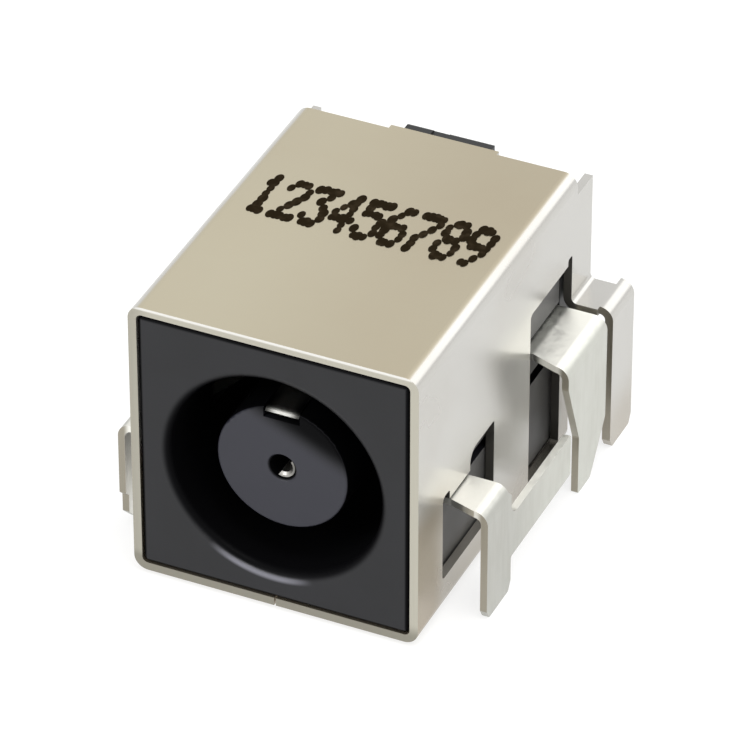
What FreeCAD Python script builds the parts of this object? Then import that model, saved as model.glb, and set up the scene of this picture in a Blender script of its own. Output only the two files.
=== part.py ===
import FreeCAD, Part
import math
import os

# Shielded DC barrel jack with a centre pin, for a board with a cut-out.
# Millimetres. Sizes below are counted from the front face (y = 0) and the
# underside of the body (z = 0). Every piece is moved to the jack's own frame
# last: its origin is under the middle, level with the tips of the legs.

# Body
body_width = 10.3
body_height = 10.6
axis_drop = 0.1              # socket's axis, below the middle of the body

# Folded shield
shield_sheet = 0.3
shield_bend = 0.5            # outer radius of the four long bends
top_depth = 12.9             # front edge to rear edge of the top panel
wall_short = 0.45            # lower walls and underside end this far in front of that
lug_long = 1.3               # and the lugs this far behind it
tongue_start = -1.75         # tongue of the top panel above the cover's hook
tongue_end = 2.2
tongue_long = 0.2
lug_drop = 0.8               # top edge of a lug, below the top panel
seam_gap = 0.06              # open seam along the underside
seam_neck = 1.3              # dovetail in the seam: width at its root
seam_head = 2.1              # and at its end
seam_reach = 1.5
window_corner = 0.2

# Window in each wall that the front arm comes through
front_window_lead = 0.65     # window's front edge, in front of the arm
front_window_tail = 2.05     # and its rear edge, behind the arm
front_sill = 1.3
front_notch_height = 0.35    # relief notch in front of the arm, above its top
rear_notch_height = 0.75     # and behind it
rear_notch_corner = 0.5

# Window that the middle arm comes through
middle_window_lead = 0.25
middle_sill = 0.4
strip_width = 0.8            # strip of wall left behind the middle leg
middle_window_rise = 1.7     # top of the window, above the arm's top
relief_slot_rise = 0.25      # and of the slot in its rear corner, above that
relief_slot_width = 0.35

# Legs, the same sheet plane on each side
leg_reach = 1.45             # body wall to the outer face of the legs
leg_bend = 0.5               # outer radius of the bends
leg_drop = 0.15              # tips, below the underside of the body
tip_cut = 0.2                # sloped corners of a tip: along the leg's width
tip_rise = 0.35              # and up the leg
edge_corner = 0.1            # rounding of stamped corners
seat_height = 1.15           # edge that rests on the board

# Outer contacts, one on each side
contact_sheet = 0.25
arm_clearance = 0.1
front_arm_start = 2.6
front_arm_width = 1.45
front_arm_top = 4.2
front_leg_lead = 0.3         # the arm widens forward by this up to its leg
front_leg_width = 1.95
left_leg_lead = 0.73         # the lead on the left-hand contact
left_pin_lead = 0.53         # and below its shoulder
left_tip_cut = 0.6           # sloped corners of its tip: along the leg's width
left_tip_rise = 0.6          # and up the leg
rail_short = 0.05            # end of the rail, in front of the middle arm
rail_top = 2.8
rail_corner = 0.5            # inner corner between the front leg and the rail
middle_arm_width = 2.95
middle_arm_top = 5.65
middle_leg_flare = 0.35      # the leg is wider than its arm, at the front
middle_pin_inset = 0.65      # front edge of its pin, behind the arm's front edge
middle_pin_width = 1.05
middle_taper_top = 4.8
middle_taper_end = 2.2
middle_taper_corner = 0.3
heel_low = 0.6
heel_high = 1.6
heel_set = 0.55
spine_inset = 0.35           # spine's outer face, inside the side of the housing
spine_below = 1.1            # lower edge of the spine, below the socket's axis
spine_above = 1.3            # and its upper edge, above the axis
spine_relief = 0.15          # relief beside each bend
spine_corner = 0.2
spring_width = 0.8
spring_reach = 0.25          # how far the crown of the spring stands into the socket
spring_tip = 3.4
spring_crown = 5.2
spring_short = 0.5           # root of the spring, in front of the middle arm
spring_lap = 0.3             # flat of the spring, behind its root
spring_bend = 0.5            # outer radius of its bends

# Rear legs, part of the shield
rear_leg_lead = 0.2          # front edge of the leg, behind the front edge of its arm
rear_leg_width = 1.85
rear_arm_top = 5.65

# Front housing
housing_gap = 0.05           # clearance to the shield, all round
housing_short = 0.6          # rear face of the housing, in front of the panel's rear edge
housing_tail = 0.05          # and behind the middle arm
front_edge = 0.15
socket_bore = 7.55
socket_mouth = 0.3           # rounding of the socket's mouth
socket_floor = 2.3           # thickness behind the socket
post_diameter = 4.7
post_recess = 0.65           # end of the post, behind the front face
post_edge = 0.1
pin_hole = 0.95
pin_hole_edge = 0.06
channel_gap = 0.1            # clearance round the contacts in their channels

# Inner contact, one spring along the top of the post
inner_sheet = 0.2
inner_width = 1.2
inner_bend = 0.3             # outer radius of its bends
inner_nose = 0.1             # turned-down nose of the spring, behind the end of the post
inner_nose_set = 0.32        # and below the post's surface
inner_shoulder = 0.22        # top of the nose, behind the end of the post
inner_shoulder_set = 0.2     # and below the post's surface
inner_crown = 0.15           # crown, above the post's surface
inner_crown_at = 4.2
inner_groove = 0.48
groove_gap = 0.05            # clearance on each side of the spring
inner_settle = 3.3           # where the spring leaves the groove's floor, from the rear
bridge_from_back = 0.2       # bridge, in front of the housing's rear face
bridge_width = 2.4
bridge_hole = 1.3
bridge_corner = 0.2
cross_height = 0.8           # bar that joins the two tails

# Signal contact, a split tube in the post
tube_outer = 0.85
tube_inner = 0.55
tube_set = 0.1               # front of the tube, behind the end of the post
tube_length = 5.5
tube_floor = 0.5
tube_slit = 0.18
tube_slit_turn = 37.0        # from upright, towards the right
short_tine = 0.9             # the tine left of the slit is shorter by this
short_tine_edge = 0.08       # and its edge lies this far across the axis
tube_edge = 0.08
signal_width = 0.6

# Tails behind the jack
tail_exit = 2.6              # height at which the tails leave the rear cover
tail_reach = 1.65            # back of the rear cover to the back of the tails
tail_bend = 0.45
power_tail_width = 1.2
power_tail_offset = 1.9

# Rear cover
cover_joint = 0.05
cover_thickness = 1.6
cover_below_top = 1.1
cover_edge = 0.15
peg_diameter = 0.8
peg_length = 1.4
peg_inset = 0.75             # peg centre to the cover's sides
peg_gap = 0.03
hook_start = -1.3
hook_end = 1.9
hook_thick = 0.4             # lip of the hook, behind the tongue
hook_gap = 0.05              # clearance to the tongue
hook_low = 0.05              # top of the lip, below the top panel's face
hook_dip_start = -0.35
hook_dip_end = 0.25
hook_dip = 0.08
hook_root = 0.5              # how far the hook reaches down into the plate

half_width = body_width / 2
socket_height = body_height / 2 - axis_drop
wall_inside = half_width - shield_sheet
housing_half = wall_inside - housing_gap
housing_bottom = shield_sheet + housing_gap
housing_top = body_height - shield_sheet - housing_gap
leg_outside = half_width + leg_reach
tip_height = -leg_drop
bend_start = leg_outside - leg_bend
wall_depth = top_depth - wall_short
lug_depth = top_depth + lug_long
housing_depth = top_depth - housing_short
middle_arm_end = housing_depth - housing_tail
middle_arm_start = middle_arm_end - middle_arm_width
rail_end = middle_arm_start - rail_short
spring_root = middle_arm_start - spring_short
socket_depth = housing_depth - socket_floor
spine_outside = housing_half - spine_inset
spine_x = spine_outside - contact_sheet / 2
spine_low = socket_height - spine_below
spine_high = socket_height + spine_above
spring_low = socket_height - spring_width / 2
spring_high = socket_height + spring_width / 2
front_arm_end = front_arm_start + front_arm_width
lug_start = wall_depth + arm_clearance
cover_front = housing_depth + cover_joint
cover_back = cover_front + cover_thickness
cover_top = body_height - cover_below_top
tail_back = cover_back + tail_reach
far = 50.0                   # beyond every piece
tiny = 1e-6                  # two places closer than this are the same


def vector(x, y, z):
    return FreeCAD.Vector(x, y, z)


def in_yz(x=0.0):
    return lambda y, z: vector(x, y, z)


def in_xz(y=0.0):
    return lambda x, z: vector(x, y, z)


def in_xy(z=0.0):
    return lambda x, y: vector(x, y, z)


def block(x0, x1, y0, y1, z0, z1):
    return Part.makeBox(x1 - x0, y1 - y0, z1 - z0, vector(x0, y0, z0))


def rounded_face(points, radii, place):
    """A flat face inside a polygon whose corners have the given radii."""
    count = len(points)
    ends = []
    for index in range(count):
        corner = FreeCAD.Vector(*points[index], 0)
        before = FreeCAD.Vector(*points[index - 1], 0).sub(corner)
        after = FreeCAD.Vector(*points[(index + 1) % count], 0).sub(corner)
        before.normalize()
        after.normalize()
        radius = radii[index]
        if radius <= 0:
            ends.append((corner, None, corner))
            continue
        half_angle = before.getAngle(after) / 2
        reach = radius / math.tan(half_angle)
        middle = before.add(after)
        middle.normalize()
        to_arc = radius / math.sin(half_angle) - radius
        start = corner.add(before.multiply(reach))
        end = corner.add(after.multiply(reach))
        ends.append((start, corner.add(middle.multiply(to_arc)), end))
    edges = []
    for index in range(count):
        start, middle, end = ends[index]
        if middle is not None:
            arc = Part.Arc(place(start.x, start.y), place(middle.x, middle.y), place(end.x, end.y))
            edges.append(arc.toShape())
        following = ends[(index + 1) % count][0]
        if end.sub(following).Length > tiny:
            edges.append(Part.makeLine(place(end.x, end.y), place(following.x, following.y)))
    return Part.Face(Part.Wire(edges))


def prism(points, radius, place, run):
    """A straight piece with rounded corners, all of one radius."""
    return rounded_face(points, [radius] * len(points), place).extrude(run)


def strip(path, sheet, bend, place, run):
    """Sheet metal bent along a path of its middle line, with outer bend radius."""
    def offset_corner(index, side):
        point = FreeCAD.Vector(*path[index], 0)
        normals = []
        for first, second in ((index - 1, index), (index, index + 1)):
            if first < 0 or second >= len(path):
                continue
            along = FreeCAD.Vector(*path[second], 0).sub(FreeCAD.Vector(*path[first], 0))
            along.normalize()
            normals.append(FreeCAD.Vector(-along.y, along.x, 0))
        total = normals[0].add(normals[-1])
        total.normalize()
        return point.add(total.multiply(side * sheet / 2 / total.dot(normals[0])))

    left = [offset_corner(index, 1) for index in range(len(path))]
    right = [offset_corner(index, -1) for index in range(len(path))]
    turns = [0.0] * len(path)
    for index in range(1, len(path) - 1):
        first = FreeCAD.Vector(*path[index], 0).sub(FreeCAD.Vector(*path[index - 1], 0))
        second = FreeCAD.Vector(*path[index + 1], 0).sub(FreeCAD.Vector(*path[index], 0))
        turns[index] = first.cross(second).z
    points = []
    radii = []
    for side, corners in ((1, left), (-1, right)):
        order = range(len(path)) if side > 0 else range(len(path) - 1, -1, -1)
        for index in order:
            points.append((corners[index].x, corners[index].y))
            if turns[index] == 0:
                radii.append(0)
            elif turns[index] * side > 0:
                radii.append(bend - sheet)
            else:
                radii.append(bend)
    return rounded_face(points, radii, place).extrude(run)


def cylinder(radius, y0, y1, x=0.0, z=socket_height):
    return Part.makeCylinder(radius, y1 - y0, vector(x, y0, z), vector(0, 1, 0))


def mirrored(shape):
    return shape.mirror(vector(0, 0, 0), vector(1, 0, 0))


def bent_leg(arm_top, sheet, inner_x, rise, start, end):
    """Sheet that rises at inner_x, runs out at arm_top and bends down to the tip."""
    arm = arm_top - sheet / 2
    path = [(inner_x, arm + rise), (inner_x, arm), (leg_outside - sheet / 2, arm),
            (leg_outside - sheet / 2, tip_height)]
    return strip(path, sheet, leg_bend, in_xz(start), vector(0, end - start, 0))


def seam_path():
    """The open seam along the underside, with one dovetail."""
    middle = wall_depth / 2
    return [(0, 0), (0, middle - seam_neck / 2), (seam_reach, middle - seam_head / 2),
            (seam_reach, middle + seam_head / 2), (0, middle + seam_neck / 2), (0, wall_depth)]


def shield_windows():
    """Openings cut through the right wall, drawn in the plane of the wall."""
    arm_end = front_arm_end
    lip = front_arm_top + arm_clearance
    notch_start = front_arm_start - front_window_lead
    notch_end = arm_end + front_window_tail
    front = [(notch_start, front_sill), (notch_end, front_sill),
             (notch_end, lip + rear_notch_height), (arm_end + arm_clearance, lip + rear_notch_height),
             (arm_end + arm_clearance, lip), (front_arm_start - arm_clearance, lip),
             (front_arm_start - arm_clearance, lip + front_notch_height),
             (notch_start, lip + front_notch_height)]
    front_radii = [window_corner, window_corner, edge_corner, rear_notch_corner,
                   0, 0, edge_corner, window_corner]
    start = middle_arm_start - middle_window_lead
    strip_start = wall_depth - strip_width
    shelf = middle_arm_top - contact_sheet - arm_clearance
    lap = shelf + 2 * window_corner
    lower = [(start, middle_sill), (strip_start, middle_sill), (strip_start, lap), (start, lap)]
    top = middle_arm_top + middle_window_rise
    upper = [(start, shelf), (lug_start, shelf), (lug_start, top), (start, top)]
    slot_start = lug_start - relief_slot_width
    slot_top = top + relief_slot_rise
    slot = [(slot_start, shelf), (lug_start, shelf), (lug_start, slot_top), (slot_start, slot_top)]
    run = vector(far, 0, 0)
    cut = rounded_face(front, front_radii, in_yz()).extrude(run)
    cut = cut.fuse(prism(lower, window_corner, in_yz(), run))
    cut = cut.fuse(rounded_face(upper, [0, 0, 0, window_corner], in_yz()).extrude(run))
    return cut.fuse(rounded_face(slot, [0, 0, edge_corner, edge_corner], in_yz()).extrude(run))


def shield_shell():
    """One folded sheet: four sides, rear lugs and the two rear legs."""
    outer = [(-half_width, 0), (half_width, 0), (half_width, body_height), (-half_width, body_height)]
    inner = [(-wall_inside, shield_sheet), (wall_inside, shield_sheet),
             (wall_inside, body_height - shield_sheet), (-wall_inside, body_height - shield_sheet)]
    run = vector(0, lug_depth, 0)
    shell = prism(outer, shield_bend, in_xz(), run)
    shell = shell.cut(prism(inner, shield_bend - shield_sheet, in_xz(), run))
    leg_arm = rear_arm_top - shield_sheet / 2
    lug_bottom = leg_arm + leg_bend + shield_sheet
    behind_panel = block(-far, far, top_depth, far, body_height - lug_drop, far)
    tongue = block(tongue_start, tongue_end, 0, top_depth + tongue_long, 0, far)
    shell = shell.cut(behind_panel.cut(tongue))
    shell = shell.cut(block(-far, far, wall_depth, far, -far, lug_bottom))
    windows = shield_windows()
    leg_start = lug_start + rear_leg_lead
    leg_end = leg_start + rear_leg_width
    leg = bent_leg(rear_arm_top, shield_sheet, half_width - shield_sheet / 2,
                   lug_bottom - leg_arm, lug_start, leg_end)
    leg = leg.cut(block(0, bend_start, lug_depth, far, -far, far))
    outline = [(leg_start, far), (leg_start, tip_height + tip_rise),
               (leg_start + tip_cut, tip_height), (leg_end - tip_cut, tip_height),
               (leg_end, tip_height + tip_rise), (leg_end, far)]
    radii = [0, edge_corner, edge_corner, edge_corner, edge_corner, 0]
    foot = rounded_face(outline, radii, in_yz(bend_start)).extrude(vector(far, 0, 0))
    leg = leg.common(foot.fuse(block(0, bend_start, 0, far, -far, far)))
    for side in (1, -1):
        cut = windows if side > 0 else mirrored(windows)
        piece = leg if side > 0 else mirrored(leg)
        shell = shell.cut(cut).fuse(piece)
    path = seam_path()
    for first, second in zip(path, path[1:]):
        length = math.hypot(second[0] - first[0], second[1] - first[1])
        slit = block(-seam_gap / 2, seam_gap / 2, -seam_gap / 2, length + seam_gap / 2, -far, housing_bottom)
        angle = math.degrees(math.atan2(second[1] - first[1], second[0] - first[0])) - 90
        slit.rotate(vector(0, 0, 0), vector(0, 0, 1), angle)
        slit.translate(vector(first[0], first[1], 0))
        shell = shell.cut(slit)
    return shell.removeSplitter()


def widening_arm(arm_start, leg_start, arm_end):
    """Room of an arm that widens forward between the wall and its leg."""
    plan = [(0, arm_start), (half_width, arm_start), (bend_start, leg_start),
            (bend_start, arm_end), (0, arm_end)]
    return rounded_face(plan, [0] * len(plan), in_xy(-far)).extrude(vector(0, 0, 2 * far))


def front_leg(leg_lead, pin_lead, cut, rise):
    """Front arm and leg of the right-hand contact, with the rail behind the leg."""
    leg_start = front_arm_start - leg_lead
    pin_start = front_arm_start - pin_lead
    leg_end = front_arm_start - front_leg_lead + front_leg_width
    leg_top = front_arm_top - leg_bend
    sheet = bent_leg(front_arm_top, contact_sheet, spine_x, leg_bend - contact_sheet / 2, leg_start, rail_end)
    front_edge_of_leg = [(leg_start, far, 0)]
    if leg_lead != pin_lead:
        front_edge_of_leg += [(leg_start, seat_height + leg_lead - pin_lead, 0), (pin_start, seat_height, 0)]
    outline = front_edge_of_leg + [
        (pin_start, tip_height + rise, edge_corner), (pin_start + cut, tip_height, edge_corner),
        (leg_end - cut, tip_height, edge_corner), (leg_end, tip_height + rise, edge_corner),
        (leg_end, seat_height, edge_corner), (rail_end, seat_height, edge_corner),
        (rail_end, rail_top, edge_corner), (leg_end, rail_top, rail_corner),
        (leg_end, leg_top, edge_corner), (front_arm_end, leg_top + leg_end - front_arm_end, 0),
        (front_arm_end, far, 0)]
    keep = rounded_face([point[:2] for point in outline], [point[2] for point in outline], in_yz(bend_start))
    arm = widening_arm(front_arm_start, leg_start, front_arm_end)
    return sheet.common(keep.extrude(vector(far, 0, 0)).fuse(arm))


def middle_leg():
    """Middle arm, which widens towards the leg, and the leg with its narrow pin."""
    leg_start = middle_arm_start - middle_leg_flare
    pin_start = middle_arm_start + middle_pin_inset
    pin_end = pin_start + middle_pin_width
    sheet = bent_leg(middle_arm_top, contact_sheet, spine_x, leg_bend - contact_sheet / 2,
                     leg_start, middle_arm_end)
    outline = [(leg_start, far), (leg_start, middle_taper_top), (pin_start, middle_taper_end),
               (pin_start, tip_height), (pin_end, tip_height), (pin_end + heel_set, heel_low),
               (middle_arm_end, heel_high), (middle_arm_end, far)]
    radii = [0, middle_taper_corner, middle_taper_corner, edge_corner, edge_corner, 0, middle_taper_corner, 0]
    keep = rounded_face(outline, radii, in_yz(bend_start)).extrude(vector(far, 0, 0))
    return sheet.common(keep.fuse(widening_arm(middle_arm_start, leg_start, middle_arm_end)))


def spine():
    """Upright plate of the right-hand contact, with its spring pressed out of it."""
    front_bend = front_arm_top - contact_sheet + leg_bend
    middle_bend = middle_arm_top - contact_sheet + leg_bend
    relief_start = front_arm_end + spine_relief
    relief_end = middle_arm_start - spine_relief
    outline = [(front_arm_start, front_bend), (relief_start, front_bend), (relief_start, spine_low),
               (relief_end, spine_low), (relief_end, middle_bend), (middle_arm_end, middle_bend),
               (middle_arm_end, spine_high), (front_arm_start, spine_high)]
    radii = [0, 0, spine_corner, spine_corner, 0, 0, 0, spine_corner]
    plate = rounded_face(outline, radii, in_yz(spine_outside - contact_sheet))
    plate = plate.extrude(vector(contact_sheet, 0, 0))
    slot = block(0, far, spring_tip - channel_gap, spring_root,
                 spring_low - channel_gap, spring_high + channel_gap)
    crown_x = socket_bore / 2 - spring_reach + contact_sheet / 2
    path = [(spine_x, spring_root + spring_lap), (spine_x, spring_root), (crown_x, spring_crown),
            (spine_x, spring_tip)]
    spring = strip(path, contact_sheet, spring_bend, in_xy(spring_low), vector(0, 0, spring_width))
    return plate.cut(slot).fuse(spring)


def outer_contact(leg_lead, pin_lead, cut, rise):
    """Right-hand contact: spine with a spring, two arms, two legs and a board rail."""
    return spine().fuse(front_leg(leg_lead, pin_lead, cut, rise)).fuse(middle_leg()).removeSplitter()


def contact_channel():
    """Room in the housing for the right-hand contact, open to the rear."""
    start = front_arm_start - channel_gap
    inside = spine_outside - contact_sheet - channel_gap
    front_low = front_arm_top - contact_sheet - channel_gap
    middle_low = middle_arm_top - contact_sheet - channel_gap
    plate = block(inside, spine_outside + channel_gap, start, far,
                  min(spine_low - channel_gap, front_low), spine_high + channel_gap)
    finger = block(post_diameter / 2 + spring_reach, spine_outside, spring_tip - channel_gap,
                   spring_root + channel_gap, spring_low - channel_gap, spring_high + channel_gap)
    front_slot = block(inside, far, start, far, front_low, front_arm_top + channel_gap)
    middle_slot = block(inside, far, middle_arm_start - channel_gap, far,
                        middle_low, middle_arm_top + channel_gap)
    return plate.fuse([finger, front_slot, middle_slot])


def post_groove():
    """Groove along the top of the post for the spring of the inner contact."""
    low = socket_height + post_diameter / 2 - inner_groove
    high = socket_height + post_diameter / 2 + inner_sheet + channel_gap
    half = inner_width / 2 + groove_gap
    return block(-half, half, 0, far, low, high)


def peg_places():
    x = housing_half - peg_inset
    return [(sx * x, z) for sx in (-1, 1) for z in (housing_bottom + peg_inset, cover_top - peg_inset)]


def moulded_block(y0, y1, top):
    """Block that fits inside the shield, rounded to clear its bends."""
    outline = [(-housing_half, housing_bottom), (housing_half, housing_bottom),
               (housing_half, top), (-housing_half, top)]
    return prism(outline, shield_bend - shield_sheet, in_xz(y0), vector(0, y1 - y0, 0))


def centre_post():
    """Round post in the middle of the socket, with a rounded end."""
    post = cylinder(post_diameter / 2, post_recess, housing_depth)
    rim = [e for e in post.Edges if e.BoundBox.YMax < post_recess + tiny]
    return post.makeFillet(post_edge, rim)


def pin_bore():
    """Hole for the plug's centre pin, with a lead-in."""
    lead_in = Part.makeCone(pin_hole / 2 + pin_hole_edge, pin_hole / 2, pin_hole_edge,
                            vector(0, post_recess, socket_height), vector(0, 1, 0))
    return cylinder(pin_hole / 2, 0, far).fuse(lead_in)


def bridge_pocket():
    """Room at the back of the housing for the plate of the inner contact."""
    start = housing_depth - bridge_from_back - inner_sheet - channel_gap
    half = power_tail_offset + power_tail_width / 2 + channel_gap
    low = tail_exit - inner_sheet / 2 - channel_gap
    return block(-half, half, start, far, low, socket_height + post_diameter / 2 + inner_sheet)


def front_housing():
    """Moulded block with the socket, its centre post and the contact channels."""
    body = moulded_block(0, housing_depth, housing_top)
    body = body.makeFillet(front_edge, [e for e in body.Edges if e.BoundBox.YMax < tiny])
    body = body.cut(cylinder(socket_bore / 2, 0, socket_depth))
    mouth = [e for e in body.Edges if e.BoundBox.YMax < tiny and e.Curve.TypeId == "Part::GeomCircle"
             and abs(e.Curve.Radius - socket_bore / 2) < tiny]
    body = body.makeFillet(socket_mouth, mouth)
    body = body.fuse(centre_post()).cut(post_groove()).cut(pin_bore())
    channel = contact_channel()
    body = body.cut(channel).cut(mirrored(channel)).cut(bridge_pocket())
    for x, z in peg_places():
        hole_floor = cover_front - peg_length - channel_gap
        body = body.cut(cylinder(peg_diameter / 2 + peg_gap, hole_floor, far, x, z))
    return body.removeSplitter()


def inner_contact():
    """Spring on the post, with a plate behind the post and two tails to the board."""
    post_top = socket_height + post_diameter / 2
    crown = post_top + inner_crown - inner_sheet / 2
    settle = post_top - inner_groove + channel_gap + inner_sheet / 2
    bridge = housing_depth - bridge_from_back - inner_sheet / 2
    head = settle - inner_sheet
    path = [(post_recess + inner_nose, post_top - inner_nose_set),
            (post_recess + inner_shoulder, post_top - inner_shoulder_set),
            (inner_crown_at, crown), (housing_depth - inner_settle, settle), (bridge, settle), (bridge, head)]
    spring = strip(path, inner_sheet, inner_bend, in_yz(-inner_width / 2), vector(inner_width, 0, 0))
    half = power_tail_offset + power_tail_width / 2
    foot = tail_exit - inner_sheet / 2 + tail_bend
    neck = foot + cross_height
    outline = [(-half, foot), (half, foot), (half, neck), (bridge_width / 2, neck), (bridge_width / 2, head),
               (-bridge_width / 2, head), (-bridge_width / 2, neck), (-half, neck)]
    radii = [0, 0, bridge_corner, 0, bridge_corner, bridge_corner, 0, bridge_corner]
    plate = rounded_face(outline, radii, in_xz(bridge - inner_sheet / 2))
    plate = plate.extrude(vector(0, inner_sheet, 0))
    hole = cylinder(bridge_hole / 2, bridge - inner_sheet, bridge + inner_sheet)
    shape = spring.fuse(plate).cut(hole)
    tail_path = [(bridge, foot), (bridge, tail_exit), (tail_back - inner_sheet / 2, tail_exit),
                 (tail_back - inner_sheet / 2, tip_height)]
    for side in (-1, 1):
        start = side * power_tail_offset - power_tail_width / 2
        tail = strip(tail_path, inner_sheet, tail_bend, in_yz(start), vector(power_tail_width, 0, 0))
        shape = shape.fuse(tail)
    return shape.removeSplitter()


def signal_drop():
    """Where the signal contact's tail turns down inside the rear cover."""
    return (cover_front + cover_back) / 2 - inner_sheet


def signal_contact():
    """Split tube for the plug's centre pin, with a flat tail to the board."""
    front = post_recess + tube_set
    tube = cylinder(tube_outer / 2, front, front + tube_length)
    tube = tube.cut(cylinder(tube_inner / 2, 0, front + tube_length - tube_floor))
    tube = tube.cut(Part.makeCone(tube_inner / 2 + tube_edge, tube_inner / 2, tube_edge,
                                  vector(0, front, socket_height), vector(0, 1, 0)))
    slit = block(-tube_slit / 2, tube_slit / 2, 0, front + tube_length - 2 * tube_floor, 0, body_height)
    slit.rotate(vector(0, 0, socket_height), vector(0, 1, 0), tube_slit_turn)
    trim = block(-tube_outer, short_tine_edge, 0, front + short_tine, 0, body_height)
    trim.rotate(vector(0, 0, socket_height), vector(0, 1, 0), tube_slit_turn)
    tube = tube.cut(slit).cut(trim)
    drop = signal_drop()
    path = [(front + tube_length - tube_floor / 2, socket_height), (drop, socket_height), (drop, tail_exit),
            (tail_back - inner_sheet / 2, tail_exit), (tail_back - inner_sheet / 2, tip_height)]
    tail = strip(path, inner_sheet, tail_bend, in_yz(-signal_width / 2), vector(signal_width, 0, 0))
    return tube.fuse(tail).removeSplitter()


def rear_cover():
    """Moulded plate that closes the back and hooks behind the top panel."""
    plate = moulded_block(cover_front, cover_back, cover_top)
    rear_edges = [e for e in plate.Edges if e.BoundBox.YMin > cover_back - tiny]
    plate = plate.makeChamfer(cover_edge, rear_edges)
    lip_front = top_depth + tongue_long + hook_gap
    lip_back = lip_front + hook_thick
    lip_top = body_height - hook_low
    hook = block(hook_start, hook_end, cover_front, lip_back, cover_top - hook_root, lip_top)
    rim = [e for e in hook.Edges if e.BoundBox.YMin > lip_back - tiny]
    hook = hook.makeFillet(cover_edge, rim)
    hook = hook.cut(block(-far, far, 0, lip_front, housing_top, far))
    hook = hook.cut(block(hook_dip_start, hook_dip_end, lip_front, far, lip_top - hook_dip, far))
    cover = plate.fuse(hook)
    for x, z in peg_places():
        cover = cover.fuse(cylinder(peg_diameter / 2, cover_front - peg_length, cover_front, x, z))
    slot_low = tail_exit - inner_sheet / 2 - channel_gap
    slot_high = tail_exit + inner_sheet / 2 + channel_gap
    for side in (-1, 1):
        middle = side * power_tail_offset
        half = power_tail_width / 2 + channel_gap
        cover = cover.cut(block(middle - half, middle + half, 0, far, slot_low, slot_high))
    half = signal_width / 2 + channel_gap
    drop = signal_drop() + inner_sheet / 2 + channel_gap
    cover = cover.cut(block(-half, half, 0, drop, slot_low, socket_height + inner_sheet / 2 + channel_gap))
    cover = cover.cut(block(-half, half, 0, far, slot_low, slot_high))
    return cover.removeSplitter()


def write_part(name, shape):
    shape = shape.copy()
    shape.translate(vector(0, -tail_back / 2, leg_drop))
    solids = shape.Solids
    shape.exportStep("parts/" + name + ".step")
    box = shape.BoundBox
    print("%-22s solids %d  volume %.3f  valid %s  x %.2f..%.2f  y %.2f..%.2f  z %.2f..%.2f" % (
        name, len(solids), shape.Volume, shape.isValid(),
        box.XMin, box.XMax, box.YMin, box.YMax, box.ZMin, box.ZMax))


def main():
    os.makedirs("parts", exist_ok=True)
    write_part("shield_shell", shield_shell())
    write_part("front_housing", front_housing())
    write_part("rear_cover", rear_cover())
    right = outer_contact(front_leg_lead, front_leg_lead, tip_cut, tip_rise)
    left = mirrored(outer_contact(left_leg_lead, left_pin_lead, left_tip_cut, left_tip_rise))
    write_part("outer_contact_right", right)
    write_part("outer_contact_left", left)
    write_part("inner_contact", inner_contact())
    write_part("signal_contact", signal_contact())


main()
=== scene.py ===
from collections import namedtuple
import math
import random

import bpy
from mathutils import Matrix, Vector

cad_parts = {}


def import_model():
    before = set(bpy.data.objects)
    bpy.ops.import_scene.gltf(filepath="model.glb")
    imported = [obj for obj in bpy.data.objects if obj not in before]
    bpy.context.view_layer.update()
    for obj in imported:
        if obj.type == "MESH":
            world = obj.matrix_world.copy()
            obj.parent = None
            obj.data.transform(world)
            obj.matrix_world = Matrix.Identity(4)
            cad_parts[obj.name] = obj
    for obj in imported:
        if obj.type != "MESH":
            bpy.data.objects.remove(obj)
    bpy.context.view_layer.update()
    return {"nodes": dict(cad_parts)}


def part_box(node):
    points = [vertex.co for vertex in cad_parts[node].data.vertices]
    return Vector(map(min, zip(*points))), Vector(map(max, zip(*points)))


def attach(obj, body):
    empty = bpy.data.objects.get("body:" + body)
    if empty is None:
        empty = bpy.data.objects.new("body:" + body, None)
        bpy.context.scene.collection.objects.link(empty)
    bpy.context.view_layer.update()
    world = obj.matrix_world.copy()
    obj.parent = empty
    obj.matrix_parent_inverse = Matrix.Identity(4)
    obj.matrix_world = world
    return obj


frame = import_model()

# Sizes and places are millimetres in the jack's own frame, and angles are
# degrees. MM turns them into the metres that Blender takes.
MM = 0.001

shell_low, shell_high = (Vector(corner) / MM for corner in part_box("shield_shell"))
housing_low, housing_high = (Vector(corner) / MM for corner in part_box("front_housing"))

# Places on the jack
FRONT = shell_low.y
TOP = shell_high.z
WALL_PLANE = 5.15
HOUSING_FRONT = housing_low.y
HOUSING_MIDDLE = (housing_low.z + housing_high.z) / 2
SOCKET_AXIS = housing_low.z + 4.85
SOCKET_RADIUS = 3.775
MOUTH_RADIUS = 4.075
POST_RADIUS = 2.35
PIN_HOLE_RADIUS = 0.535

# Camera, solved from the shell's edges in the photograph
CAMERA_AZIMUTH = 24.495
CAMERA_ELEVATION = 35.667
CAMERA_DISTANCE = 202.52
CAMERA_TARGET = Vector((1.163, -2.413, 6.309))
CAMERA_LENS = 295.41
CAMERA_SENSOR = 36.0
CAMERA_NEAR = 10.0
CAMERA_FAR = 5000.0

# Table and the light of the surroundings
TABLE_REACH = 600.0
TABLE_PALE = (0.80, 0.80, 0.80)
TABLE_SHADED = (0.30, 0.30, 0.295)
TABLE_GLOW = 0.76
SURROUNDING_LIGHT = 0.55
SURROUNDING_SEEN = 1.0

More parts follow.
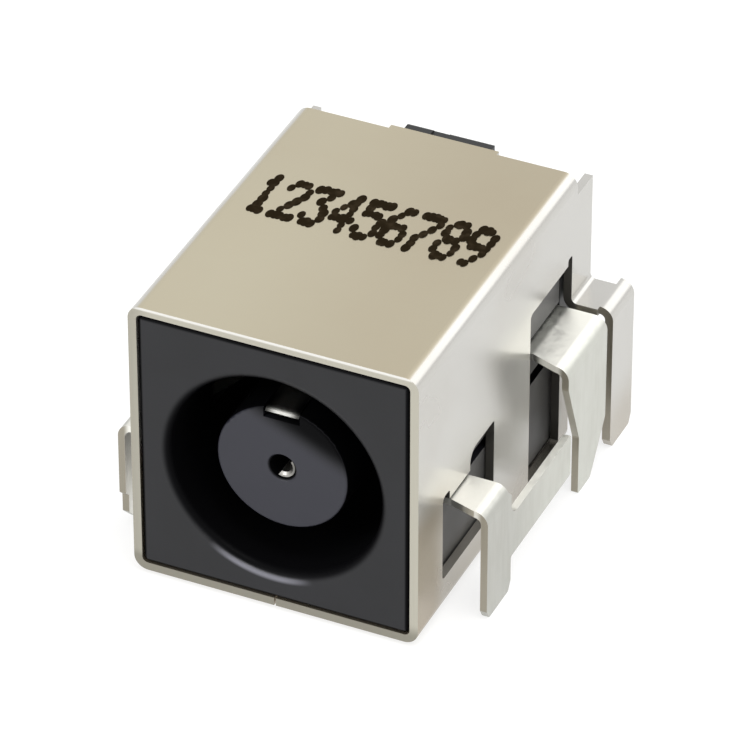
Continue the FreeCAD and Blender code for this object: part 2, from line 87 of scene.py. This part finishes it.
# Print on the top panel: dots in a grid, as an ink-jet printer leaves them
PRINT_TEXT = "123456789"
PRINT_LEFT = -4.12
PRINT_RIGHT = 4.22
PRINT_LOW = -1.16
PRINT_HIGH = 0.81
PRINT_LIFT = 0.004
PRINT_STEP = 0.0001
DIGIT_SHARE = 0.8           # of the pitch: the room that the last digit takes
COLUMN_SHARE = 0.86         # of that room: from a digit's first column to its last
DOT_RADIUS = 0.145
DOT_SMALLEST = 0.85
DOT_LARGEST = 1.2
DOT_STRETCH = 1.6
DOT_SIDES = 14
SHAKE_SEED = 7
SHAKE_ACROSS = 0.018
SHAKE_ALONG = 0.02

# Colours, linear
SHELL_WALL = (0.560, 0.550, 0.522)
SHELL_TOP = (0.500, 0.457, 0.343)
# darker patches, and painted shade low on the walls
SHELL_PATCHES_AND_SHADE = (0.360, 0.302, 0.218)
SHELL_RIM = (0.480, 0.460, 0.390)
# painted shade and a painted highlight on the rim, then painted shade on the window edges
SHELL_RIM_SHADE = (0.285, 0.270, 0.225)
SHELL_RIM_PAINTED_HIGHLIGHT = (0.860, 0.850, 0.820)
WINDOW_EDGE_SHADE = (0.110, 0.105, 0.095)
CUT_EDGE = (0.330, 0.305, 0.250)
CONTACT_PLATING = (0.590, 0.595, 0.548)
CONTACT_FRONT = (0.480, 0.480, 0.445)
CONTACT_CLOUD = (0.420, 0.410, 0.360)
# painted light on the contacts: tops of the arms, inner sides and inner edges
CONTACT_LIT = (0.880, 0.875, 0.820)
FRONT_SHELF_LIT = (0.810, 0.800, 0.745)
SPRING_PLATING = (0.360, 0.360, 0.345)
# painted shade at the ends of the spring's nose
SPRING_END_SHADE = (0.030, 0.030, 0.028)
PIN_PLATING = (0.420, 0.410, 0.390)
PLASTIC = (0.004, 0.0042, 0.006)
PLASTIC_PALE = (0.010, 0.010, 0.013)
# painted light on the housing's sides in the windows
PLASTIC_SIDE_LIT = (0.100, 0.098, 0.096)
# painted highlight on the mouth's lowest lip
MOUTH_PAINTED_GLEAM = (0.190, 0.190, 0.220)
POST_END = (0.022, 0.0225, 0.032)
# painted shade in the socket, on the lip and along the seam
BORE_SHADE = (0.0030, 0.0030, 0.0035)
COVER = (0.004, 0.0045, 0.0045)
INK = (0.011, 0.0065, 0.0015)
INK_THIN = (0.040, 0.028, 0.015)

# How metallic, rough and shiny the surfaces are. A pair of roughnesses is for
# the lows and the highs of a noise, and the pair of shines for the plastic and its painted shade.
SHELL_METALLIC = 0.82
SHELL_ROUGH = (0.23, 0.28)
PANEL_ROUGHER = 0.17
EDGE_ROUGHER = 0.15
CONTACT_ROUGH = (0.36, 0.46)
SHELF_ROUGHER = 0.12
SPRING_ROUGH = 0.34
PIN_ROUGH = 0.35
PLASTIC_ROUGH = (0.40, 0.50)
MOUTH_SMOOTHER = 0.12
HOUSING_SHINE = (0.40, 0.03)
INK_ROUGH = 0.8
INK_SHINE = 0.05

# A grain is a noise: waves in a metre, levels of detail, and stretch along x, y and z
Grain = namedtuple("Grain", "waves detail stretch", defaults=(3.0, (1.0, 1.0, 1.0)))
SHELL_CLOUDS = Grain(260.0)
SHELL_GRAIN = Grain(5200.0, 2.0, (1.0, 0.25, 1.0))
CONTACT_CLOUDS = Grain(700.0)
CONTACT_GRAIN = Grain(4200.0, 2.0, (1.0, 1.0, 0.15))
SPRING_CLOUDS = Grain(2500.0)
PLASTIC_CLOUDS = Grain(420.0)
PLASTIC_SKIN = Grain(9000.0, 2.0)
INK_CLOUDS = Grain(3000.0)

# A relief is how strong a bump is and how deep it seems
Relief = namedtuple("Relief", "strength depth")
SHELL_RELIEF = Relief(0.07, 0.004)
CONTACT_RELIEF = Relief(0.15, 0.004)
PLASTIC_RELIEF = Relief(0.2, 0.006)

# A span is where a change begins, where it is complete, and how strong it gets
Span = namedtuple("Span", "start end full", defaults=(1.0,))
WHOLE = Span(0.0, 1.0)

# Spans of noise
CLOUDY = Span(0.3, 0.7)
SHELL_CLOUDED = Span(0.3, 0.7, 0.10)
CONTACT_CLOUDED = Span(0.35, 0.7, 0.2)
SPRING_CLOUDED = Span(0.3, 0.7, 0.4)
PLASTIC_CLOUDED = Span(0.3, 0.7, 0.5)
INK_CLOUDED = Span(0.45, 0.75, 0.5)

# Spans of direction: the part of a surface's normal that lies along an axis
FACES_UP = Span(0.90, 0.995)
FACES_UP_BENT = Span(0.80, 0.98)
FACES_ALONG = Span(0.85, 0.97)
FACES_ACROSS = Span(0.90, 0.98)
NOT_FORWARD = Span(-0.95, -0.6)

# Spans on the shell. The wall spans place painted shade; the rim spans place painted shade at the left
# and below and a painted highlight along the top
PANEL_LEVEL = Span(TOP - 0.08, TOP - 0.02)
PANEL_RIGHT = Span(-3.5, 3.5, 0.34)
PANEL_REAR = Span(FRONT + 4.0, FRONT + 11.0, 0.14)
WALL_LOW = Span(4.3, 5.9)
WALL_FORWARD = Span(FRONT + 1.0, FRONT + 3.0, 0.85)
WALL_FOOT = Span(0.6, 2.8, 0.40)
RIM_LEFT = Span(shell_low.x + 1.5, shell_low.x + 2.4, 0.50)
RIM_LOW = Span(0.4, 1.0)
RIM_TOP = Span(TOP - 0.13, TOP - 0.06, 0.8)
RIM_BEHIND = Span(FRONT + 0.2, FRONT + 0.6)
REAR_LEG = Span(WALL_PLANE + 0.1, WALL_PLANE + 0.3)

# Spans on the contacts. That of the inner sides, which are painted light, is for x times the normal's
# x.
ARM_OUTSIDE = Span(WALL_PLANE - 0.1, WALL_PLANE + 0.1)
INNER_SIDE = Span(-4.8, -4.2)
LEG_OUTSIDE = Span(6.15, 6.40)
CONTACT_REAR = Span(-4.0, 0.0)
# painted shade at the ends of the spring's nose
NOSE_END = Span(0.15, 0.58)
NOSE_DEPTH = Span(HOUSING_FRONT + 1.2, HOUSING_FRONT + 2.4)

# Spans on the housing: radius and depth in the socket, where shade and the mouth's highlight are
# painted, then its sides, painted light, and its border, painted in shade
SOCKET_INSIDE = Span(SOCKET_RADIUS + 0.05, SOCKET_RADIUS + 0.12)
SOCKET_DEPTH = Span(0.12, 0.30)
POST_OUTSIDE = Span(POST_RADIUS - 0.05, POST_RADIUS)
PIN_HOLE = Span(PIN_HOLE_RADIUS - 0.05, PIN_HOLE_RADIUS)
POST_SHADE = Span(1.0, 2.0)
LIP_RADIUS = Span(SOCKET_RADIUS + 0.05, MOUTH_RADIUS + 0.05)
LIP_DEPTH = Span(0.25, 0.45)
GLEAM_INNER = Span(MOUTH_RADIUS - 0.17, MOUTH_RADIUS - 0.02)
GLEAM_OUTER = Span(MOUTH_RADIUS + 0.01, MOUTH_RADIUS + 0.17)
GLEAM_TURN = Span(0.88, 0.99)
POLISH_INNER = Span(SOCKET_RADIUS + 0.02, SOCKET_RADIUS + 0.08)
POLISH_OUTER = Span(MOUTH_RADIUS - 0.05, MOUTH_RADIUS + 0.10)
SIDE_PLANE = Span(4.3, 4.5)
BORDER = Span(-0.17, -0.06)
BORDER_DEPTH = Span(0.05, 0.25)

# Directions in the socket's front plane, to the right and up
POST_SHADE_TOWARDS = (0.42, 0.91)
POST_SHADE_DARKEST = 0.95
GLEAM_TOWARDS = (-0.139, -0.990)


class Nodes:
    """The nodes of one look, with short names for what they work out."""

    def __init__(self, tree):
        self.nodes = tree.nodes
        self.links = tree.links

    def join(self, value, socket):
        """Link an output to a socket, or set the socket to a number or a colour."""
        if hasattr(value, "is_output"):
            self.links.new(value, socket)
        elif socket.type == "RGBA":
            socket.default_value = (*value, 1.0)
        else:
            socket.default_value = value

    def maths(self, operation, *values, clamp=False):
        node = self.nodes.new("ShaderNodeMath")
        node.operation = operation
        node.use_clamp = clamp
        for value, socket in zip(values, node.inputs):
            self.join(value, socket)
        return node.outputs[0]

    def plus(self, first, second, clamp=False):
        return self.maths("ADD", first, second, clamp=clamp)

    def minus(self, first, second, clamp=False):
        return self.maths("SUBTRACT", first, second, clamp=clamp)

    def times(self, first, second):
        return self.maths("MULTIPLY", first, second)

    def greater(self, first, second):
        return self.maths("MAXIMUM", first, second)

    def absolute(self, value):
        return self.maths("ABSOLUTE", value)

    def change(self, value, span, ends):
        """Smooth change from the first end to the second as the value crosses the span."""
        node = self.nodes.new("ShaderNodeMapRange")
        node.interpolation_type = "SMOOTHSTEP"
        self.join(value, node.inputs["Value"])
        self.join(span.start, node.inputs["From Min"])
        self.join(span.end, node.inputs["From Max"])
        self.join(ends[0], node.inputs["To Min"])
        self.join(ends[1], node.inputs["To Max"])
        return node.outputs[0]

    def rise(self, value, span):
        """0 before the span and full strength behind it."""
        return self.change(value, span, (0.0, span.full))

    def fall(self, value, span):
        """Full strength before the span and 0 behind it."""
        return self.change(value, span, (span.full, 0.0))

    def mix(self, share, first, second):
        """The first colour, which turns into the second as the share goes from 0 to 1."""
        node = self.nodes.new("ShaderNodeMix")
        node.data_type = "RGBA"
        colours = [socket for socket in node.inputs if socket.type == "RGBA"]
        self.join(share, node.inputs["Factor"])
        self.join(first, colours[0])
        self.join(second, colours[1])
        return next(socket for socket in node.outputs if socket.type == "RGBA")

    def axes(self, vector):
        node = self.nodes.new("ShaderNodeSeparateXYZ")
        self.join(vector, node.inputs[0])
        return node.outputs["X"], node.outputs["Y"], node.outputs["Z"]

    def seen_white(self):
        """1 for rays that should meet a white surrounding, 0 for the others."""
        path = self.nodes.new("ShaderNodeLightPath").outputs
        seen = self.greater(path["Is Camera Ray"], path["Is Glossy Ray"])
        return self.greater(seen, path["Is Transmission Ray"])


class Surface(Nodes):
    """A material that knows its place on the jack (x, y, z) and where it faces (u, v, w)."""

    def __init__(self, name, metallic=0.0):
        self.material = bpy.data.materials.new(name)
        self.material.use_nodes = True
        super().__init__(self.material.node_tree)
        self.shader = self.nodes["Principled BSDF"]
        self.join(metallic, self.shader.inputs["Metallic"])
        self.metres = self.nodes.new("ShaderNodeTexCoord").outputs["Object"]
        scaled = self.nodes.new("ShaderNodeVectorMath")
        scaled.operation = "SCALE"
        self.join(self.metres, scaled.inputs[0])
        self.join(1 / MM, scaled.inputs["Scale"])
        self.x, self.y, self.z = self.axes(scaled.outputs[0])
        normal = self.nodes.new("ShaderNodeNewGeometry").outputs["Normal"]
        self.u, self.v, self.w = self.axes(normal)

    def noise(self, grain):
        mapping = self.nodes.new("ShaderNodeMapping")
        self.join(grain.stretch, mapping.inputs["Scale"])
        self.join(self.metres, mapping.inputs["Vector"])
        node = self.nodes.new("ShaderNodeTexNoise")
        self.join(grain.waves, node.inputs["Scale"])
        self.join(grain.detail, node.inputs["Detail"])
        self.join(mapping.outputs[0], node.inputs["Vector"])
        return node.outputs["Fac"]

    def bump(self, height, relief):
        node = self.nodes.new("ShaderNodeBump")
        self.join(relief.strength, node.inputs["Strength"])
        self.join(relief.depth * MM, node.inputs["Distance"])
        self.join(height, node.inputs["Height"])
        self.join(node.outputs[0], self.shader.inputs["Normal"])

    def complete(self, colour, roughness):
        self.join(colour, self.shader.inputs["Base Color"])
        self.join(roughness, self.shader.inputs["Roughness"])
        return self.material

    def sheared(self):
        """1 on the cut edges that face the front or the rear of the jack."""
        return self.rise(self.absolute(self.v), FACES_ALONG)


def shell_patches_and_shade(look, panel, cloud):
    """Share of the darker tone: random patches, more towards the right and rear of the panel, and
    painted shade low down on the walls and at their front.
    """
    on_panel = look.plus(look.rise(look.x, PANEL_RIGHT), look.rise(look.y, PANEL_REAR))
    # painted shade low on the walls, more towards their front
    wall_front_shade = look.times(look.fall(look.z, WALL_LOW), look.fall(look.y, WALL_FORWARD))
    wall_shade = look.greater(wall_front_shade, look.fall(look.z, WALL_FOOT))
    darkening = look.plus(look.times(on_panel, panel), wall_shade)
    return look.plus(look.rise(cloud, SHELL_CLOUDED), darkening, clamp=True)


def shell_edges(look):
    """The front rim, with painted shade at the left and below and a painted highlight along the top,
    then the window edges in painted shade and the legs' bare edges.
    """
    rim_shade = look.plus(look.fall(look.x, RIM_LEFT), look.fall(look.z, RIM_LOW), clamp=True)
    rim = look.mix(rim_shade, SHELL_RIM, SHELL_RIM_SHADE)
    rim = look.mix(look.rise(look.z, RIM_TOP), rim, SHELL_RIM_PAINTED_HIGHLIGHT)
    leg = look.rise(look.absolute(look.x), REAR_LEG)
    # the window edges take painted shade, the legs' edges stay bare
    return look.mix(look.rise(look.y, RIM_BEHIND), rim, look.mix(leg, WINDOW_EDGE_SHADE, CUT_EDGE))


def shell_material():
    """Plated sheet: the walls a blurred mirror with painted shade low down, the top panel warmer and
    duller, the cut edges bare, with painted shade and a painted highlight on the rim and painted shade
    on the window edges.
    """
    look = Surface("plated_sheet", SHELL_METALLIC)
    cloud = look.noise(SHELL_CLOUDS)
    panel = look.times(look.rise(look.w, FACES_UP), look.rise(look.z, PANEL_LEVEL))
    bare = look.sheared()
    colour = look.mix(panel, SHELL_WALL, SHELL_TOP)
    colour = look.mix(shell_patches_and_shade(look, panel, cloud), colour, SHELL_PATCHES_AND_SHADE)
    colour = look.mix(bare, colour, shell_edges(look))
    roughness = look.change(cloud, CLOUDY, SHELL_ROUGH)
    roughness = look.plus(roughness, look.times(panel, PANEL_ROUGHER))
    roughness = look.plus(roughness, look.times(bare, EDGE_ROUGHER))
    look.bump(look.noise(SHELL_GRAIN), SHELL_RELIEF)
    return look.complete(colour, roughness)


def contact_material():
    """Matt tin on a stamped strip: painted light on top of the arms, on their inner sides and inner cut
    edges, and bare on the cut edges of the legs.
    """
    look = Surface("tinned_strip", 1.0)
    grain = look.noise(CONTACT_GRAIN)
    outward = look.absolute(look.x)
    rearward = look.rise(look.y, CONTACT_REAR)
    # painted light: arm tops, inner sides and inner cut edges are whiter than the plating
    lit_shelf = look.times(look.rise(look.w, FACES_UP_BENT), look.rise(outward, ARM_OUTSIDE))
    lit_inner_side = look.fall(look.times(look.x, look.u), INNER_SIDE)
    lit_or_bare_edge = look.mix(look.rise(outward, LEG_OUTSIDE), CONTACT_LIT, CUT_EDGE)
    colour = look.mix(rearward, CONTACT_FRONT, CONTACT_PLATING)
    colour = look.mix(look.rise(look.noise(CONTACT_CLOUDS), CONTACT_CLOUDED), colour, CONTACT_CLOUD)
    colour = look.mix(lit_shelf, colour, look.mix(rearward, FRONT_SHELF_LIT, CONTACT_LIT))
    colour = look.mix(lit_inner_side, colour, CONTACT_LIT)
    colour = look.mix(look.sheared(), colour, lit_or_bare_edge)
    roughness = look.change(grain, CLOUDY, CONTACT_ROUGH)
    roughness = look.plus(roughness, look.times(lit_shelf, SHELF_ROUGHER))
    look.bump(grain, CONTACT_RELIEF)
    return look.complete(colour, roughness)


def inner_material(name, plating, roughness):
    """Smoother plating of the contacts in the socket, with painted shade at the ends of the spring's
    nose.
    """
    look = Surface(name, 1.0)
    colour = look.mix(look.rise(look.noise(SPRING_CLOUDS), SPRING_CLOUDED), plating, CUT_EDGE)
    # painted shade at the ends of the nose
    end = look.rise(look.absolute(look.x), NOSE_END)
    end = look.times(end, look.fall(look.y, NOSE_DEPTH))
    return look.complete(look.mix(end, colour, SPRING_END_SHADE), roughness)


def plastic(name, dark, pale):
    """Glass-filled plastic with the fine skin of the mould, its colour and its roughness."""
    look = Surface(name)
    cloud = look.noise(PLASTIC_CLOUDS)
    look.bump(look.noise(PLASTIC_SKIN), PLASTIC_RELIEF)
    colour = look.mix(look.rise(cloud, PLASTIC_CLOUDED), dark, pale)
    return look, colour, look.change(cloud, CLOUDY, PLASTIC_ROUGH)


def socket_parts(look, radius, depth):
    """Masks of the socket's walls and of the post's end."""
    inside = look.times(look.fall(radius, SOCKET_INSIDE), look.rise(depth, SOCKET_DEPTH))
    on_post = look.times(look.fall(radius, POST_OUTSIDE), look.rise(radius, PIN_HOLE))
    turned = look.minus(look.rise(look.v, NOT_FORWARD), on_post, clamp=True)
    wall = look.times(inside, turned)
    return wall, look.minus(inside, wall, clamp=True)


def front_reach(look, height, direction):
    """Distance from the socket's axis along a direction in the front plane."""
    return look.plus(look.times(look.x, direction[0]), look.times(height, direction[1]))


def mouth_gleam(look, radius, lowest):
    """Mask of the narrow painted highlight on the rounded mouth of the socket."""
    band = look.times(look.rise(radius, GLEAM_INNER), look.fall(radius, GLEAM_OUTER))
    return look.times(band, lowest)


def housing_lit_side(look):
    """Mask of the sides that show in the shell's windows, where the plastic is painted light."""
    across = look.rise(look.absolute(look.u), FACES_ACROSS)
    return look.times(across, look.rise(look.absolute(look.x), SIDE_PLANE))


def housing_seam_shade(look, depth):
    """Mask of the painted shade on the front's outermost strip, along the seam with the shell."""
    beside = look.minus(look.absolute(look.x), housing_high.x)
    above = look.absolute(look.minus(look.z, HOUSING_MIDDLE))
    above = look.minus(above, housing_high.z - HOUSING_MIDDLE)
    # painted shade along the seam with the shell
    strip = look.rise(look.greater(beside, above), BORDER)
    return look.times(strip, look.fall(depth, BORDER_DEPTH))


def housing_material():
    """The housing: paler on the end of its post, painted light at its sides, and painted shade inside
    the socket, on the mouth's lip and along the seam.
    """
    look, colour, roughness = plastic("housing_plastic", PLASTIC, PLASTIC_PALE)
    height = look.minus(look.z, SOCKET_AXIS)
    squares = look.plus(look.times(look.x, look.x), look.times(height, height))
    radius = look.maths("SQRT", squares)
    depth = look.minus(look.y, HOUSING_FRONT)

    # painted shade on the post's end, towards its upper right
    wall, end = socket_parts(look, radius, depth)
    shade = look.rise(front_reach(look, height, POST_SHADE_TOWARDS), POST_SHADE)
    shade = look.times(shade, end)
    colour = look.mix(end, colour, POST_END)
    colour = look.mix(shade, colour, BORE_SHADE)

    # painted shade on the lip of the mouth, with a painted highlight where it is lowest, which is also
    # polished there
    lowest = look.maths("DIVIDE", front_reach(look, height, GLEAM_TOWARDS), radius)
    lowest = look.rise(lowest, GLEAM_TURN)
    gleam = mouth_gleam(look, radius, lowest)
    lip_shade = look.times(look.fall(depth, LIP_DEPTH), look.fall(radius, LIP_RADIUS))
    lip_shade = look.minus(lip_shade, gleam, clamp=True)
    polish = look.times(lowest, look.rise(radius, POLISH_INNER))
    polish = look.times(polish, look.fall(radius, POLISH_OUTER))
    colour = look.mix(gleam, colour, MOUTH_PAINTED_GLEAM)

    # painted light on the sides that show in the windows
    colour = look.mix(housing_lit_side(look), colour, PLASTIC_SIDE_LIT)
    # painted shade: the socket's walls, the post's end shade, the lip and the seam strip turn to the
    # dark colour and lose their shine
    dark = look.greater(wall, look.times(shade, POST_SHADE_DARKEST))
    dark = look.greater(dark, look.greater(lip_shade, housing_seam_shade(look, depth)))
    look.join(look.change(dark, WHOLE, HOUSING_SHINE), look.shader.inputs["Specular IOR Level"])
    roughness = look.minus(roughness, look.times(polish, MOUTH_SMOOTHER))
    return look.complete(look.mix(dark, colour, BORE_SHADE), roughness)


def cover_material():
    look, colour, roughness = plastic("cover_plastic", COVER, PLASTIC)
    return look.complete(colour, roughness)


def ink_material():
    """Printed ink, a little thinner in places."""
    look = Surface("printed_ink")
    look.join(INK_SHINE, look.shader.inputs["Specular IOR Level"])
    thin = look.rise(look.noise(INK_CLOUDS), INK_CLOUDED)
    return look.complete(look.mix(thin, INK, INK_THIN), INK_ROUGH)


DIGITS = {
    "1": ("..#..", ".##..", "..#..", "..#..", "..#..", "..#..", ".###."),
    "2": (".###.", "#...#", "....#", "...#.", "..#..", ".#...", "#####"),
    "3": ("#####", "...#.", "..#..", "...#.", "....#", "#...#", ".###."),
    "4": ("...#.", "..##.", ".#.#.", "#..#.", "#####", "...#.", "...#."),
    "5": ("#####", "#....", "####.", "....#", "....#", "#...#", ".###."),
    "6": ("..##.", ".#...", "#....", "####.", "#...#", "#...#", ".###."),
    "7": ("#####", "....#", "...#.", "..#..", ".#...", ".#...", ".#..."),
    "8": (".###.", "#...#", "#...#", ".###.", "#...#", "#...#", ".###."),
    "9": (".###.", "#...#", "#...#", ".####", "....#", "...#.", ".##.."),
}


def marks():
    """Place of the digit, row and column of each dot of the print."""
    for place, letter in enumerate(PRINT_TEXT):
        for row, line in enumerate(DIGITS[letter]):
            for column, mark in enumerate(line):
                if mark == "#":
                    yield place, row, column


def print_dots():
    """Centre and radius of each dot, a little off its grid."""
    shake = random.Random(SHAKE_SEED)
    rows = len(DIGITS["1"])
    columns = len(DIGITS["1"][0])
    pitch = (PRINT_RIGHT - PRINT_LEFT) / (len(PRINT_TEXT) - 1 + DIGIT_SHARE)
    across = pitch * DIGIT_SHARE / (columns - 1) * COLUMN_SHARE
    along = (PRINT_HIGH - PRINT_LOW) / (rows - 1)
    for place, row, column in marks():
        x = PRINT_LEFT + place * pitch + column * across + shake.gauss(0, SHAKE_ACROSS)
        y = PRINT_HIGH - row * along + shake.gauss(0, SHAKE_ALONG)
        yield x, y, DOT_RADIUS * shake.uniform(DOT_SMALLEST, DOT_LARGEST)


def new_object(name, points, faces, chosen):
    """A mesh object of one material, from points in millimetres."""
    mesh = bpy.data.meshes.new(name)
    mesh.from_pydata([Vector(point) * MM for point in points], [], faces)
    mesh.materials.append(chosen)
    made = bpy.data.objects.new(name, mesh)
    bpy.context.collection.objects.link(made)
    return made


def printed_code():
    """The print: flat dots, each a hair above the one before, so that none share a plane."""
    points = []
    faces = []
    for x, y, radius in print_dots():
        start = len(points)
        level = TOP + PRINT_LIFT + len(faces) * PRINT_STEP
        for side in range(DOT_SIDES):
            angle = 2 * math.pi * side / DOT_SIDES
            reach = radius * DOT_STRETCH
            points.append((x + radius * math.cos(angle), y + reach * math.sin(angle), level))
        faces.append(list(range(start, start + DOT_SIDES)))
    made = new_object("printed_code", points, faces, ink_material())
    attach(made, "root")


def dress_nodes():
    contact = contact_material()
    dress = {
        "shield_shell": shell_material(),
        "front_housing": housing_material(),
        "rear_cover": cover_material(),
        "outer_contact_right": contact,
        "outer_contact_left": contact,
        "inner_contact": inner_material("spring_plating", SPRING_PLATING, SPRING_ROUGH),
        "signal_contact": inner_material("pin_plating", PIN_PLATING, PIN_ROUGH),
    }
    for name, chosen in dress.items():
        for holder in frame["nodes"][name].material_slots:
            holder.material = chosen


def world():
    made = bpy.data.worlds.new("soft_studio")
    bpy.context.scene.world = made
    made.use_nodes = True
    look = Nodes(made.node_tree)
    background = look.nodes["Background"]
    strength = look.change(look.seen_white(), WHOLE, (SURROUNDING_LIGHT, SURROUNDING_SEEN))
    look.join((1.0, 1.0, 1.0), background.inputs["Color"])
    look.join(strength, background.inputs["Strength"])


def table_material():
    """Plain pale table. It is white to the camera and keeps a light shadow."""
    made = bpy.data.materials.new("pale_table")
    made.use_nodes = True
    look = Nodes(made.node_tree)
    look.nodes.remove(look.nodes["Principled BSDF"])
    pale = look.nodes.new("ShaderNodeBsdfDiffuse")
    look.join(TABLE_PALE, pale.inputs["Color"])
    shaded = look.nodes.new("ShaderNodeBsdfDiffuse")
    look.join(TABLE_SHADED, shaded.inputs["Color"])
    glow = look.nodes.new("ShaderNodeEmission")
    look.join(TABLE_GLOW, glow.inputs["Strength"])
    white = look.nodes.new("ShaderNodeAddShader")
    look.join(shaded.outputs[0], white.inputs[0])
    look.join(glow.outputs[0], white.inputs[1])
    choice = look.nodes.new("ShaderNodeMixShader")
    look.join(look.seen_white(), choice.inputs[0])
    look.join(pale.outputs[0], choice.inputs[1])
    look.join(white.outputs[0], choice.inputs[2])
    look.join(choice.outputs[0], look.nodes["Material Output"].inputs["Surface"])
    return made


def table():
    reach = TABLE_REACH
    corners = [(-reach, -reach, 0), (reach, -reach, 0), (reach, reach, 0), (-reach, reach, 0)]
    made = new_object("table_top", corners, [(0, 1, 2, 3)], table_material())


def aimed_object(name, data, direction, distance):
    """A lamp or camera at a distance from the camera's target, turned to look at it."""
    away = Vector(direction).normalized()
    made = bpy.data.objects.new(name, data)
    made.location = (CAMERA_TARGET + away * distance) * MM
    made.rotation_euler = away.to_track_quat("Z", "Y").to_euler()
    bpy.context.collection.objects.link(made)
    return made


def area_lamp(name, direction, distance, size, energy):
    data = bpy.data.lights.new(name, "AREA")
    data.shape = "RECTANGLE"
    data.size = size[0] * MM
    data.size_y = size[1] * MM
    data.energy = energy
    aimed_object(name, data, direction, distance)


def lamps():
    area_lamp("overhead", (0.25, -0.1, 1.0), 300.0, (200.0, 200.0), 0.55)
    area_lamp("back_right", (0.45, 0.75, 0.62), 300.0, (240.0, 240.0), 0.19)
    area_lamp("front_left", (-0.7, -1.0, 0.8), 350.0, (160.0, 160.0), 0.35)
    area_lamp("front_low", (-0.22, -0.95, 0.14), 300.0, (70.0, 50.0), 0.15)


def camera():
    azimuth = math.radians(CAMERA_AZIMUTH)
    elevation = math.radians(CAMERA_ELEVATION)
    level = math.cos(elevation)
    direction = (math.sin(azimuth) * level, -math.cos(azimuth) * level, math.sin(elevation))
    data = bpy.data.cameras.new("camera")
    data.lens = CAMERA_LENS
    data.sensor_width = CAMERA_SENSOR
    data.clip_start = CAMERA_NEAR * MM
    data.clip_end = CAMERA_FAR * MM
    bpy.context.scene.camera = aimed_object("camera", data, direction, CAMERA_DISTANCE)


dress_nodes()
printed_code()
world()
table()
lamps()
camera()
bpy.context.scene.view_settings.view_transform = "Standard"
